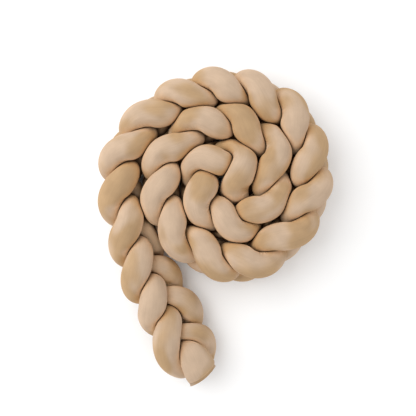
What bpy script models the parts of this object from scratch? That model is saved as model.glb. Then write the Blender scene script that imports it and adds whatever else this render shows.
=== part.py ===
"""Crib bumper: three stuffed velvet tubes plaited into one flat braid.

The braid stands on its edge and is rolled up from its inner end.  Its outer end is left loose
and leans over, so that its face shows.  Metres, +Z up, standing on z = 0.
"""

import math

import bpy
import numpy as np

# ---------------------------------------------------------------- driving dimensions (metres)
TUBE_RADIUS = 0.0250      # a stuffed tube where nothing presses on it
RISE = 0.0325             # from the middle of the braid to the middle of a tube at its edge
SWING = 0.016             # how far a tube weaves to either side of the braid's middle plane
FLOOR_PRESS = 0.0030      # how far the lowest tubes are pressed flat by the floor
TUBE_GAP = 0.0026         # between two tubes that lie against each other, before faceting
LOOSE_GAP = 0.0016        # more of it at the loose end, where short bends meet
LOOSE_LENGTH = 0.180      # the loose end's extra gap fades out over this length
CREASE_SOFTNESS = 0.0035  # how gently a tube rounds over into a crease
BEND_ROOM = 0.90          # share of the room that a tight bend leaves on its inner side
BEND_SOFTNESS = 0.012     # and how gently the tube flattens into that room
STRANDS = 3
FIRST_CROWN = 1           # the row of LOBES at which the first tube comes over the edge

END_LENGTH = 0.036        # over this length a tube flattens towards its sewn end
SEAM_HALF_WIDTH = 0.029   # half the width of the flat sewn end
SEAM_HALF_THICKNESS = 0.0018
SEAM_LIP = 0.004          # the sewn end goes on flat for this far
RUN_OUT = 0.8             # in lobes: how much of the braid a loose end's last stretch stands for
GATHER = (0.3, 2.3)       # in lobes: the loose end's tubes draw together from the second to here
GATHER_SHARE = 0.75       # what is left of the rise and the swing at the loose end

RING_SPACING = 0.0135     # between two cross sections of a tube
SIDES = 12                # corners of a cross section
LOWER_SPREAD = 0.30       # how much wider a leaning braid spreads below its middle
LINE_STEP = 0.05          # in lobes: spacing of the points that stand for a tube's middle line
OWN_BEND = 1.0            # in lobes: a tube's own line this near counts as its bend
SAME_PLACE = 0.004        # nearer points of the tube's own line are the ring's own middle
NEIGHBOUR_REACH = 0.115   # tubes further off than this can't press on each other
DIP_STEP = 5              # degrees: steps round the figure of eight in search of its lowest point
SMALL = 1e-3              # in lobes: half the step that gives the direction of travel
TINY = 1e-6               # a ray that leans less than this towards a point can't reach it

VELVET = (0.62, 0.44, 0.30, 1.0)

# Where the braid runs in plan, a row for each tube that comes over its upper edge, from the
# loose end to the middle of the roll: x and y in metres, and how far the braid leans over
# to its outer side, in degrees.  The first and last rows only lead the ends.
LOBES = (
    # x, y, lean
    (-0.008, -0.285, 58),
    (-0.027, -0.232, 60),
    (-0.067, -0.211, 60),
    (-0.096, -0.143, 54),
    (-0.130, -0.086, 38),
    (-0.155, -0.013, 18),
    (-0.176, 0.066, 4),
    (-0.168, 0.137, 0),
    (-0.114, 0.202, 0),
    (-0.054, 0.236, 0),
    (0.014, 0.251, 0),
    (0.081, 0.234, 0),
    (0.141, 0.189, 0),
    (0.167, 0.118, 0),
    (0.166, 0.051, 0),
    (0.124, -0.019, 0),
    (0.054, -0.065, 0),
    (-0.014, -0.054, 0),
    (-0.080, -0.004, 0),
    (-0.104, 0.066, 0),
    (-0.086, 0.138, 0),
    (-0.017, 0.190, 0),
    (0.051, 0.181, 0),
    (0.108, 0.119, 0),
    (0.079, 0.028, 0),
    (0.021, 0.003, 0),
    (-0.033, 0.053, 0),
    (-0.018, 0.121, 0),
    (0.054, 0.104, 0),
    (0.034, 0.014, 0),
)

# The tubes.  Each follows the braid between two fractional rows of LOBES, and from the first
# of them it runs out to its loose sewn end, whose middle lies at x, y and z, turning towards
# it at this share of the way.
TUBES = (
    # name, leaves, ends, x, y, z, turning
    ("strand_1", 1.25, 28.75, -0.0255, -0.2775, 0.049, 0.35),
    ("strand_2", 2.00, 28.20, -0.0474, -0.2571, 0.018, 0.38),
    ("strand_3", 2.00, 28.55, -0.0430, -0.2604, 0.012, 0.44),
)


# ---------------------------------------------------------------- the braid's middle line
def read_table(rows, t):
    """The rows of a table at fractional row numbers, on a Catmull-Rom spline."""
    rows = np.asarray(rows, dtype=float)
    count = len(rows)
    first = 2 * rows[0] - rows[1]
    last = 2 * rows[-1] - rows[-2]
    rows = np.vstack([2 * first - rows[0], first, rows, last, 2 * last - rows[-1]])
    whole = np.clip(np.floor(t).astype(int), -1, count - 1)
    part = (t - whole)[:, None]
    before, start, end, after = (rows[whole + 2 + step] for step in (-1, 0, 1, 2))
    return 0.5 * (
        2 * start
        + (end - before) * part
        + (2 * before - 5 * start + 4 * end - after) * part ** 2
        + (3 * start - before - 3 * end + after) * part ** 3
    )


def soften(rows):
    """One pass of averaging with the neighbours, so that nothing changes suddenly."""
    rows = np.array(rows, dtype=float)
    rows[1:-1] = 0.5 * rows[1:-1] + 0.25 * (rows[:-2] + rows[2:])
    return rows


ROUTE = np.array([row[:2] for row in LOBES])
LEAN = soften(soften([row[2:] for row in LOBES]))


def gather(t):
    """How much of the full rise and swing the braid has at t: less at its loose end."""
    share = np.clip((t - GATHER[0]) / (GATHER[1] - GATHER[0]), 0, 1)
    return GATHER_SHARE + (1 - GATHER_SHARE) * share * share * (3 - 2 * share)


def lifted(phase, lean):
    """How far along the edge a tube is, from 1 at its crown to -1 below, or past it by a lean."""
    spread = LOWER_SPREAD * np.sin(lean)
    return np.sin(phase) * (1 + spread * (1 - np.sin(phase)) / 2)


def lowest_reach(lean, rise, swing):
    """How far a tube's middle line dips below the braid's own, at a given lean."""
    phase = np.radians(np.arange(0, 360, DIP_STEP))
    dip = -(
        rise[:, None] * lifted(phase, lean[:, None]) * np.cos(lean)[:, None]
        - swing[:, None] * np.sin(2 * phase) * np.sin(lean)[:, None]
    )
    return dip.max(axis=1)


def braid_frame(t):
    """Middle point of the braid, and its edge and face directions, at lobe numbers t."""
    plan = read_table(ROUTE, t)
    travel = read_table(ROUTE, t + SMALL) - read_table(ROUTE, t - SMALL)
    travel /= np.linalg.norm(travel, axis=1, keepdims=True)
    outward = np.column_stack([-travel[:, 1], travel[:, 0], np.zeros(len(t))])
    up = np.array([0.0, 0.0, 1.0])
    lean = np.radians(np.clip(read_table(LEAN, t)[:, 0], 0, None))
    edge = np.cos(lean)[:, None] * up + np.sin(lean)[:, None] * outward
    face = np.cos(lean)[:, None] * outward - np.sin(lean)[:, None] * up
    rise = RISE * gather(t)
    swing = SWING * gather(t)
    height = lowest_reach(lean, rise, swing) + TUBE_RADIUS - FLOOR_PRESS
    return np.column_stack([plan, height]), edge, face, rise, swing, lean


def middle_line(number, t):
    """Middle line of one tube: a figure of eight round the braid's own middle line."""
    middle, edge, face, rise, swing, lean = braid_frame(t)
    phase = math.pi / 2 + 2 * math.pi * (t - FIRST_CROWN - number) / STRANDS
    return (
        middle
        + (rise * lifted(phase, lean))[:, None] * edge
        + (swing * np.sin(2 * phase))[:, None] * face
    )


# ---------------------------------------------------------------- cross sections
def unit(vectors):
    return vectors / np.linalg.norm(vectors, axis=-1, keepdims=True)


def level_side(along):
    return unit(np.cross(along, np.array([0.0, 0.0, 1.0])))


def carried_sides(points):
    """A side direction at each point of a line, level at both ends and evenly twisted between."""
    along = unit(np.gradient(points, axis=0))
    side = np.zeros_like(points)
    side[0] = level_side(along[0])
    for index in range(1, len(points)):
        moved = side[index - 1] - along[index] * np.dot(side[index - 1], along[index])
        side[index] = unit(moved)
    third = np.cross(along, side)
    level = level_side(along[-1])
    miss = math.atan2(np.dot(level, third[-1]), np.dot(level, side[-1]))
    miss = (miss + math.pi / 2) % math.pi - math.pi / 2
    turn = (miss * np.linspace(0, 1, len(points)))[:, None]
    return np.cos(turn) * side + np.sin(turn) * third


def smooth_min(low, high, softness):
    mix = np.clip(0.5 + 0.5 * (low - high) / softness, 0, 1)
    return low * (1 - mix) + high * mix - 0.5 * softness * mix * (1 - mix)


def free_radius(distance, angles):
    """Radius of an unpressed tube by angle: round, but flat and wide at a sewn end."""
    share = np.clip((distance - SEAM_LIP) / END_LENGTH, 0, 1)
    swell = np.sqrt(1 - (1 - share) ** 2)[:, None]
    wide = SEAM_HALF_WIDTH + (TUBE_RADIUS - SEAM_HALF_WIDTH) * swell
    thick = SEAM_HALF_THICKNESS + (TUBE_RADIUS - SEAM_HALF_THICKNESS) * swell
    return 1 / np.sqrt((np.cos(angles) / wide) ** 2 + (np.sin(angles) / thick) ** 2)


def room_along_rays(number, t, centres, rays, lines, gaps):
    """How far each ray can go before it meets the tube's own bend, and before a neighbour."""
    bend = np.full(rays.shape[:2], NEIGHBOUR_REACH)
    room = np.full(rays.shape[:2], NEIGHBOUR_REACH)
    points = np.concatenate([line for _, line in lines])
    owner = np.repeat(np.arange(len(lines)), [len(line) for _, line in lines])
    place = np.concatenate([line_t for line_t, _ in lines])
    for index, centre in enumerate(centres):
        offset = points - centre
        distance = np.linalg.norm(offset, axis=1)
        own = owner == number
        near = (distance < NEIGHBOUR_REACH) & ~(own & (distance < SAME_PLACE))
        offset, distance = offset[near], distance[near]
        own_bend = own[near] & (np.abs(place[near] - t[index]) < OWN_BEND)
        toward = rays[index] @ offset.T
        facing = toward > TINY
        toward = np.where(facing, toward, 1.0)
        half_way = distance ** 2 / (2 * toward)
        limit = half_way - 0.5 * gaps[index] * distance / toward
        room[index] = np.where(facing & ~own_bend, limit, NEIGHBOUR_REACH).min(axis=1)
        bend[index] = np.where(facing & own_bend, half_way, NEIGHBOUR_REACH).min(axis=1)
    return bend, room


def tube_rings(number, lines, spacing, sides, gap):
    """Cross sections of one tube, evenly spaced along it: an array of rings of corners."""
    fine_t, fine_line = lines[number]
    length = np.concatenate([[0], np.cumsum(np.linalg.norm(np.diff(fine_line, axis=0), axis=1))])
    count = int(round(length[-1] / spacing)) + 1
    at = np.linspace(0, length[-1], count)
    t = np.interp(at, length, fine_t)
    centres = np.column_stack([np.interp(at, length, fine_line[:, axis]) for axis in range(3)])
    side = carried_sides(fine_line)
    side = np.column_stack([np.interp(at, length, side[:, axis]) for axis in range(3)])
    along = unit(np.gradient(centres, axis=0))
    side = unit(side - along * np.sum(side * along, axis=1, keepdims=True))
    third = np.cross(along, side)
    angles = np.arange(sides) * 2 * math.pi / sides
    rays = (
        np.cos(angles)[None, :, None] * side[:, None, :]
        + np.sin(angles)[None, :, None] * third[:, None, :]
    )
    gaps = gap + LOOSE_GAP * np.clip(1 - at / LOOSE_LENGTH, 0, 1)
    bend, room = room_along_rays(number, t, centres, rays, lines, gaps)
    free = free_radius(np.minimum(at, length[-1] - at), angles)
    free = np.minimum(smooth_min(BEND_ROOM * bend, free, BEND_SOFTNESS), free)
    radius = np.minimum(smooth_min(room, free, CREASE_SOFTNESS), room)
    rings = centres[:, None, :] + radius[:, :, None] * rays
    rings[:, :, 2] = np.maximum(rings[:, :, 2], 0)
    return rings


def all_lines():
    """The middle line of every tube as points, each with its place in rows of LOBES."""
    lines = []
    for number, (_, leaves, ends, x, y, z, turning) in enumerate(TUBES):
        t = np.linspace(leaves, ends, int(round((ends - leaves) / LINE_STEP)) + 1)
        line = middle_line(number, t)
        goal = np.array([x, y, z])
        span = np.linalg.norm(goal - line[0])
        corner = line[0] + unit(line[0] - line[1]) * span * turning
        share = np.arange(1, 0, -LINE_STEP / RUN_OUT)[:, None]
        out = share ** 2 * goal + 2 * share * (1 - share) * corner + (1 - share) ** 2 * line[0]
        lines.append((
            np.concatenate([leaves - RUN_OUT * share[:, 0], t]),
            np.concatenate([out, line]),
        ))
    return lines


# ---------------------------------------------------------------- meshes
def tube_mesh(name, rings):
    """A closed tube through the rings, with a flat face on either end."""
    count, sides, _ = rings.shape
    faces = [
        (
            ring * sides + corner,
            ring * sides + (corner + 1) % sides,
            (ring + 1) * sides + (corner + 1) % sides,
            (ring + 1) * sides + corner,
        )
        for ring in range(count - 1)
        for corner in range(sides)
    ]
    faces.append(tuple(reversed(range(sides))))
    faces.append(tuple((count - 1) * sides + corner for corner in range(sides)))
    mesh = bpy.data.meshes.new(name)
    mesh.from_pydata(rings.reshape(-1, 3).tolist(), [], faces)
    mesh.validate()
    mesh.shade_smooth()
    return mesh


def velvet_material(name):
    material = bpy.data.materials.new(name)
    material.use_nodes = True
    shader = material.node_tree.nodes["Principled BSDF"]
    shader.inputs["Base Color"].default_value = VELVET
    shader.inputs["Roughness"].default_value = 0.9
    shader.inputs["Metallic"].default_value = 0.0
    return material


def main(spacing=RING_SPACING, sides=SIDES, gap=TUBE_GAP):
    for thing in list(bpy.data.objects):
        bpy.data.objects.remove(thing)
    lines = all_lines()
    shapes = [tube_rings(number, lines, spacing, sides, gap) for number in range(STRANDS)]
    everything = np.concatenate([rings.reshape(-1, 3) for rings in shapes])
    low, high = everything.min(axis=0), everything.max(axis=0)
    shift = np.array([(low[0] + high[0]) / 2, (low[1] + high[1]) / 2, low[2]])
    for (name, *_), rings in zip(TUBES, shapes):
        mesh = tube_mesh(name, rings - shift)
        mesh.materials.append(velvet_material(name + "_velvet"))
        thing = bpy.data.objects.new(name, mesh)
        bpy.context.scene.collection.objects.link(thing)
    return shift


main()
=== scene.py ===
# %% [markdown]
# # A braided crib bumper, rolled up
# The real thing is three long velvet tubes, stuffed, plaited into one flat braid, and stood on
# its edge in a roll with one loose end.  The imported CAD part gives the fixed frame: the size of
# everything and where it stands.  It is loaded first, and its box is kept, so that the lines made
# below can be measured against it.  It is loaded first, and its box is kept, because the cloth
# that is made below may only stand a few millimetres proud of it.

# %% Load the frame
import math

import bpy
import numpy as np
from mathutils import Matrix, Vector
from mathutils.bvhtree import BVHTree


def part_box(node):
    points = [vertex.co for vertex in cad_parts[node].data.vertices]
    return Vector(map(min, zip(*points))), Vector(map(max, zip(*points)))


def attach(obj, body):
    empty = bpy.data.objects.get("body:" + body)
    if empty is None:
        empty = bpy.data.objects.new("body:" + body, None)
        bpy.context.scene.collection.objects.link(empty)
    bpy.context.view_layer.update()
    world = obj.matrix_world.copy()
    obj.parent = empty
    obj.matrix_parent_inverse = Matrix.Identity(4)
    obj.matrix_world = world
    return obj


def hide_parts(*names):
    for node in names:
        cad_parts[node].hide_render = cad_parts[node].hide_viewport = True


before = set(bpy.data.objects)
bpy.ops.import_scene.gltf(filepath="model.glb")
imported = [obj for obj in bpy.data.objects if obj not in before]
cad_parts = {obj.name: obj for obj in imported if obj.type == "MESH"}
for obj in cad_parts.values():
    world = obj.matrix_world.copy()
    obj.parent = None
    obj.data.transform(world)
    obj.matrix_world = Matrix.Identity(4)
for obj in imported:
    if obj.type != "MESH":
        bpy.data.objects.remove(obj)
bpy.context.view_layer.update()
print("nodes:", sorted(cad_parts))

# %% [markdown]
# ## The sizes that drive the shape
# A stuffed tube is 50 mm thick, and a little more where it is free to swell.  In a flat
# three-strand plait each tube swings from one edge of the braid to the other and weaves over and
# under on the way, so the plait needs just two more sizes: how far a tube's middle rises from the
# braid's middle to its edge, and how far it swings to either face.  Near the loose end the plait
# gathers to three quarters of both, and where the braid leans over, its lower lobes spread out.
# They are the CAD part's own sizes, in metres.

# %% Driving sizes
TUBE_RADIUS = 0.0250
STUFFED_RADIUS = 0.0268
RISE = 0.0325
SWING = 0.016
FLOOR_PRESS = 0.0030
STRANDS = 3
FIRST_CROWN = 1
GATHER = (0.3, 2.3)
GATHER_SHARE = 0.75
LOWER_SPREAD = 0.30
print("a tube is", round(2000 * TUBE_RADIUS), "mm thick and the braid",
      round(2000 * (RISE + TUBE_RADIUS)), "mm wide")

# %% [markdown]
# ## Where the braid runs
# Seen from above, the roll shows one plump lobe for each tube that comes over the braid's upper
# edge.  So the route is kept as a short table with a row for each of these lobes, from the loose
# end to the middle of the roll: x, y and how far the braid leans over to its outer side.  Only
# the loose end leans, so that its face shows.  PLUMP names the lobes that are stuffed fuller, and
# TUBES where each tube leaves the braid at the loose end and where its sewn end lies.  The middle
# of the roll is plaited by hand and less even, so NUDGES moves a few lobes there.

# %% The route
LOBES = (
    # x, y, lean
    (-0.008, -0.285, 58),
    (-0.027, -0.232, 60),
    (-0.067, -0.211, 60),
    (-0.096, -0.143, 54),
    (-0.130, -0.086, 38),
    (-0.155, -0.013, 18),
    (-0.176, 0.066, 4),
    (-0.168, 0.137, 0),
    (-0.114, 0.202, 0),
    (-0.054, 0.236, 0),
    (0.014, 0.251, 0),
    (0.081, 0.234, 0),
    (0.141, 0.189, 0),
    (0.167, 0.118, 0),
    (0.166, 0.051, 0),
    (0.124, -0.019, 0),
    (0.054, -0.065, 0),
    (-0.014, -0.054, 0),
    (-0.080, -0.004, 0),
    (-0.104, 0.066, 0),
    (-0.086, 0.138, 0),
    (-0.017, 0.190, 0),
    (0.051, 0.181, 0),
    (0.108, 0.119, 0),
    (0.079, 0.028, 0),
    (0.021, 0.003, 0),
    (-0.033, 0.053, 0),
    (-0.018, 0.121, 0),
    (0.054, 0.104, 0),
    (0.034, 0.014, 0),
)
PLUMP = (
    # tube, place, radius there as a share of TUBE_RADIUS
    (0, 28.40, 1.22),
    (2, 27.40, 1.10),
    (1, 26.20, 1.04),
)
TUBES = (
    # name, leaves, ends, x, y, z, turning
    ("strand_1", 1.25, 28.75, -0.0255, -0.2775, 0.049, 0.35),
    ("strand_2", 2.00, 28.20, -0.0474, -0.2571, 0.018, 0.38),
    ("strand_3", 2.00, 28.55, -0.0430, -0.2604, 0.012, 0.44),
)
NUDGES = (
    # tube, place, reach, x, y, z
    (2, 27.50, 0.8, -0.004, 0.001, 0.006),
    (0, 27.40, 0.7, 0.001, 0.006, -0.011),
    (0, 28.40, 0.8, -0.006, 0.000, 0.000),
    (1, 26.50, 0.7, 0.000, 0.002, 0.005),
    (2, 26.35, 0.6, -0.002, 0.002, -0.009),
)
print("lobes:", len(LOBES), " tubes:", len(TUBES))

# %% [markdown]
# ## Read the table between its rows
# A place on the braid is a lobe number, and 4.5 is half way between two lobes.  A Catmull-Rom
# spline reads the table there: it goes through every row without a kink, which suits a route
# whose rows were placed one by one.  The lean is softened first, or it would change in steps.

# %% The smooth route
def read_table(rows, t):
    """The rows of a table at fractional row numbers, on a Catmull-Rom spline."""
    rows = np.asarray(rows, dtype=float)
    count = len(rows)
    first = 2 * rows[0] - rows[1]
    last = 2 * rows[-1] - rows[-2]
    rows = np.vstack([2 * first - rows[0], first, rows, last, 2 * last - rows[-1]])
    whole = np.clip(np.floor(t).astype(int), -1, count - 1)
    part = (t - whole)[:, None]
    before, start, end, after = (rows[whole + 2 + step] for step in (-1, 0, 1, 2))
    return 0.5 * (
        2 * start
        + (end - before) * part
        + (2 * before - 5 * start + 4 * end - after) * part ** 2
        + (3 * start - before - 3 * end + after) * part ** 3
    )


def soften(rows, passes=1):
    """Averages each row with its neighbours, and keeps the first and the last."""
    rows = np.array(rows, dtype=float)
    for _ in range(passes):
        rows[1:-1] = 0.5 * rows[1:-1] + 0.25 * (rows[:-2] + rows[2:])
    return rows


def unit(vectors):
    return vectors / np.linalg.norm(vectors, axis=-1, keepdims=True)


ROUTE = np.array([row[:2] for row in LOBES])
LEAN = soften([row[2:] for row in LOBES], passes=2)
print("softened lean, degrees:", LEAN[:6, 0].round(1))

# %% [markdown]
# ## The rule of the plait
# At every place the braid has two directions: along its edge (up, or leaning) and square to its
# face.  A tube is then a flat figure of eight round the braid's middle.  Its phase goes once
# round in three lobes, and the next tube follows a third of a turn later.  That one rule gives
# every crossing in its place, with no list of points to keep.

# %% The plait
def lifted(phase, spread):
    """How far along the edge a tube is, from 1 at its crown to -(1 + spread) below."""
    return np.sin(phase) * (1 + spread * (1 - np.sin(phase)) / 2)


def braid_frame(t):
    """Middle of the braid, and its edge and face directions, at lobe numbers t."""
    small = 1e-3
    plan = read_table(ROUTE, t)
    travel = unit(read_table(ROUTE, t + small) - read_table(ROUTE, t - small))
    outward = np.column_stack([-travel[:, 1], travel[:, 0], np.zeros(len(t))])
    lean = np.radians(np.clip(read_table(LEAN, t), 0, None))
    edge = np.cos(lean) * [0, 0, 1] + np.sin(lean) * outward
    face = np.cos(lean) * outward - np.sin(lean) * [0, 0, 1]
    share = np.clip((t - GATHER[0]) / (GATHER[1] - GATHER[0]), 0, 1)
    share = (GATHER_SHARE + (1 - GATHER_SHARE) * share ** 2 * (3 - 2 * share))[:, None]
    rise, swing = RISE * share, SWING * share
    spread = LOWER_SPREAD * np.sin(lean)
    phase = np.radians(np.arange(0, 360, 5))
    risen = rise * lifted(phase, spread)
    dip = swing * np.sin(2 * phase) * np.sin(lean) - risen * np.cos(lean)
    height = dip.max(axis=1) + TUBE_RADIUS - FLOOR_PRESS
    return np.column_stack([plan, height]), edge, face, rise, swing, spread


def middle_line(number, t):
    """Middle line of one tube: a figure of eight round the braid's middle."""
    middle, edge, face, rise, swing, spread = braid_frame(t)
    phase = (math.pi / 2 + 2 * math.pi * (t - FIRST_CROWN - number) / STRANDS)[:, None]
    return middle + rise * lifted(phase, spread) * edge + swing * np.sin(2 * phase) * face


half_way = braid_frame(np.array([len(LOBES) / 2]))[0][0]
print("half way along, the braid's middle is at", half_way.round(3))

# %% [markdown]
# ## Each tube from end to end
# A tube leaves the plait on a plain curve to its sewn end.  Its line is softened a little, and
# nudged where the plait is less even.  Its points lie evenly along it, but closer at its ends,
# where the cloth closes to a seam, because each point becomes one ring of the skin.

# %% Middle lines of the tubes
LINE_STEP = 0.05
RUN_OUT = 0.8
LINE_PASSES = 12
RING_SPACING = 0.0044
SEAM_RING_SPACING = 0.0016
SEAM_RINGS_LENGTH = 0.030


def whole_line(number):
    """One tube's middle line from its loose sewn end, and its place in rows of LOBES."""
    _, leaves, ends, x, y, z, turning = TUBES[number]
    t = np.linspace(leaves, ends, int(round((ends - leaves) / LINE_STEP)) + 1)
    line = middle_line(number, t)
    goal = np.array([x, y, z])
    span = np.linalg.norm(goal - line[0])
    corner = line[0] + unit(line[0] - line[1]) * span * turning
    share = np.arange(1, 0, -LINE_STEP / RUN_OUT)[:, None]
    out = share ** 2 * goal + 2 * share * (1 - share) * corner + (1 - share) ** 2 * line[0]
    return np.concatenate([out, line]), np.concatenate([leaves - RUN_OUT * share[:, 0], t])


def spaced_points(line, place, spacing, end_spacing=None):
    """The same line with its points an even distance apart, but closer at its sewn ends."""
    length = np.concatenate([[0], np.cumsum(np.linalg.norm(np.diff(line, axis=0), axis=1))])
    whole, inset = length[-1], SEAM_RINGS_LENGTH if end_spacing else 0.0
    steps = int(round((whole - 2 * inset) / spacing))
    at = np.linspace(inset, whole - inset, steps + 1)
    if end_spacing:
        end = np.linspace(0, inset, int(round(inset / end_spacing)) + 1)[:-1]
        at = np.concatenate([end, at, whole - end[::-1]])
    line = np.column_stack([np.interp(at, length, line[:, axis]) for axis in range(3)])
    return line, np.interp(at, length, place), at


def bump(place, centre, reach):
    """A smooth bump of height 1 round a place on the line."""
    return np.clip(1 - ((place - centre) / reach) ** 2, 0, 1) ** 2


middle_lines = []
for number in range(STRANDS):
    line, place, _ = spaced_points(*whole_line(number), RING_SPACING)
    line = soften(line, LINE_PASSES)
    for tube, centre, reach, *move in NUDGES:
        if tube == number:
            line = line + bump(place, centre, reach)[:, None] * move
    line, place, along = spaced_points(line, place, RING_SPACING, SEAM_RING_SPACING)
    middle_lines.append((line, place, along))
    print(TUBES[number][0], "is", round(float(along[-1]), 2), "m long,", len(line), "points")

# %% [markdown]
# ## Bring the lines onto the frame
# The CAD part's origin lies under the middle of its box, while the table counts from the middle
# of the roll.  One named step takes the lines from the table onto the frame, and the print shows
# that each line then lies inside the box of its CAD tube.

# %% Move the lines
ROLL_MIDDLE = np.array([-0.0029, 0.0001, 0.0])

middle_lines = [(line - ROLL_MIDDLE, place, along) for line, place, along in middle_lines]
for (name, *_), (line, _, _) in zip(TUBES, middle_lines):
    low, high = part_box(name)
    spare = np.minimum(line.min(axis=0) - np.array(low), np.array(high) - line.max(axis=0))
    print(name, "line to its CAD box, mm:", (1000 * spare).round(1))

# %% [markdown]
# ## The shape of a sewn end
# A tube is round, but it is sewn flat at its ends: there it becomes a flat pillow that closes
# into a lip, with wide ears at the corners and a stitched groove behind it.  Two half sizes say
# all of this.  They follow from the distance to the sewn end, so one formula shapes all six ends.

# %% Half sizes of a tube
END_LENGTH = 0.028
SEAM_HALF_WIDTH = 0.029
SEAM_HALF_THICKNESS = 0.0012
SEAM_LIP = 0.0080
LIP_OPENING = 0.0014
SEAM_EARS = 0.10
PILLOW_LENGTH = 0.085
PILLOW_SHARE = 0.34


def fade(distance, reach):
    """From 1 at a sewn end down to 0 at that reach from it."""
    return np.clip(1 - distance / reach, 0, 1)


def end_shape(distance):
    """Half width and half thickness of an unpressed tube at a distance from its sewn end."""
    share = np.clip((distance - SEAM_LIP) / END_LENGTH, 0, 1)
    swell = np.sqrt(1 - (1 - share) ** 2)
    flat = PILLOW_SHARE * fade(distance, PILLOW_LENGTH)
    wide = STUFFED_RADIUS * (1 + flat)
    thick = STUFFED_RADIUS * (1 - flat)
    wide = SEAM_HALF_WIDTH + (wide - SEAM_HALF_WIDTH) * swell
    wide = wide * (1 + SEAM_EARS * fade(distance, SEAM_LIP))
    lip = LIP_OPENING * fade(distance, SEAM_LIP)
    thick = SEAM_HALF_THICKNESS + lip + (thick - SEAM_HALF_THICKNESS) * swell
    return wide, thick


for distance in (0.0, SEAM_LIP, PILLOW_LENGTH):
    row = [round(1000 * float(value), 1) for value in (distance, *end_shape(distance))]
    print("distance from the end, half width and half thickness, mm:", row)

# %% [markdown]
# ## What the skin needs to know at each point of its line
# Geometry Nodes will sweep a section along each line, so the line carries a few named attributes.
# wide and thick are the half sizes of the unpressed section.  curl is the direction and
# sharpness of the line's own bend, because cloth on the inside of a bend has less room.  twist
# turns the section so that both sewn ends lie level.  outward bows the seam, as the filling does,
# slant skews it, and seam marks the groove for the velvet.

# %% Line attributes
SEAM_GROOVE = 0.0014
SEAM_BOW = 0.007
SEAM_SLANT = 0.010
CURL_PASSES = 10
PLUMP_REACH = 1.2


def carried_twist(line):
    """How far a level section has turned at the line's end, spread evenly along it."""
    along = unit(np.gradient(line, axis=0))
    up = np.array([0.0, 0.0, 1.0])
    side = unit(np.cross(along[0], up))
    for direction in along[1:]:
        side = unit(side - direction * np.dot(side, direction))
    level = unit(np.cross(along[-1], up))
    miss = math.atan2(np.dot(level, np.cross(along[-1], side)), np.dot(level, side))
    miss = (miss + math.pi / 2) % math.pi - math.pi / 2
    return miss * np.linspace(0, 1, len(line))


def plumpness(number, place):
    """How well stuffed the tube is along its line: fuller at the lobes named in PLUMP."""
    share = np.ones(len(place))
    for tube, lobe, value in PLUMP:
        if tube == number:
            share += (value - 1) * bump(place, lobe, PLUMP_REACH)
    return share


def line_attributes(number, line, place, along):
    """The named values that the tube's line carries, one for each of its points."""
    travel = unit(np.gradient(line, along, axis=0))
    to_end = np.minimum(along, along[-1] - along)
    wide, thick = end_shape(to_end)
    bow = SEAM_BOW * fade(to_end, PILLOW_LENGTH) ** 2
    away = np.where(along < along[-1] / 2, -1.0, 1.0)
    plump = plumpness(number, place)
    return {
        "wide": wide * plump,
        "thick": thick * plump,
        "along": along,
        "seam": np.exp(-((to_end - SEAM_LIP) / SEAM_GROOVE) ** 2),
        "twist": carried_twist(line),
        "curl": soften(np.gradient(travel, along, axis=0), CURL_PASSES),
        "outward": travel * (away * bow)[:, None],
        "slant": travel * (SEAM_SLANT / SEAM_BOW * bow)[:, None],
    }


turn = math.degrees(carried_twist(middle_lines[0][0])[-1])
print("the first tube's section turns by", round(turn), "degrees to lie level")

# %% [markdown]
# ## The lines as meshes
# A mesh of loose edges is all that a line needs: Geometry Nodes can turn it into a curve, and
# its points keep their attributes on the way.

# %% Line meshes
def line_mesh(name, lines):
    """A mesh of loose edges through the points of one or more lines."""
    mesh = bpy.data.meshes.new(name)
    first = np.cumsum([0] + [len(line) for line in lines])
    edges = [(i, i + 1) for a, b in zip(first, first[1:]) for i in range(a, b - 1)]
    mesh.from_pydata(np.concatenate(lines).tolist(), edges, [])
    return mesh


def give(mesh, name, values, kind="FLOAT", domain="POINT"):
    """Stores one named attribute on a mesh."""
    attribute = mesh.attributes.new(name, kind, domain)
    field = "vector" if kind == "FLOAT_VECTOR" else "value"
    attribute.data.foreach_set(field, np.asarray(values).ravel())


tube_lines = []
for number, (line, place, along) in enumerate(middle_lines):
    mesh = line_mesh(TUBES[number][0] + "_line", [line])
    for key, values in line_attributes(number, line, place, along).items():
        give(mesh, key, values, "FLOAT_VECTOR" if values.ndim == 2 else "FLOAT")
    tube_lines.append(mesh)
print("attributes of a line:", [a.name for a in tube_lines[0].attributes])

# %% [markdown]
# ## The neighbours that press on a tube
# A tube is pressed by the two others and, where the roll lies turn on turn, by itself.  Its own
# line close by must not count, or it would press on itself everywhere.  So all three lines go
# into one helper mesh whose edges carry two numbers: the tube they belong to, and a stretch
# number, one for every two lobes.  A point of the skin can then ask for the nearest line of
# another tube, or of its own tube at least two stretches away.

# %% One mesh with all the lines
STRETCH = 2.0
STRETCHES_A_TUBE = 100

all_lines = line_mesh("all_lines", [line for line, _, _ in middle_lines])
stretches = [
    number * STRETCHES_A_TUBE + np.floor(place / STRETCH).astype(int)
    for number, (_, place, _) in enumerate(middle_lines)
]
edge_tube = np.repeat(range(STRANDS), [len(line) - 1 for line, _, _ in middle_lines])
give(all_lines, "tube", edge_tube, "INT", "EDGE")
give(all_lines, "stretch", np.concatenate([s[:-1] for s in stretches]), "INT", "EDGE")
for mesh, numbers in zip(tube_lines, stretches):
    give(mesh, "stretch", numbers, "INT")


def link(made):
    """Puts a new object in the scene and passes it on."""
    bpy.context.scene.collection.objects.link(made)
    return made


lines_object = link(bpy.data.objects.new("all_lines", all_lines))
print("helper edges:", len(all_lines.edges))

# %% [markdown]
# ## Small helpers for node trees
# A tree built in a script is easier to read when a node is one line.  node() adds a node and
# fills its sockets with values or with links, and the short ones below it do the same for the
# nodes that are used most: maths, vectors, a blur, a move, and a named attribute.

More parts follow.
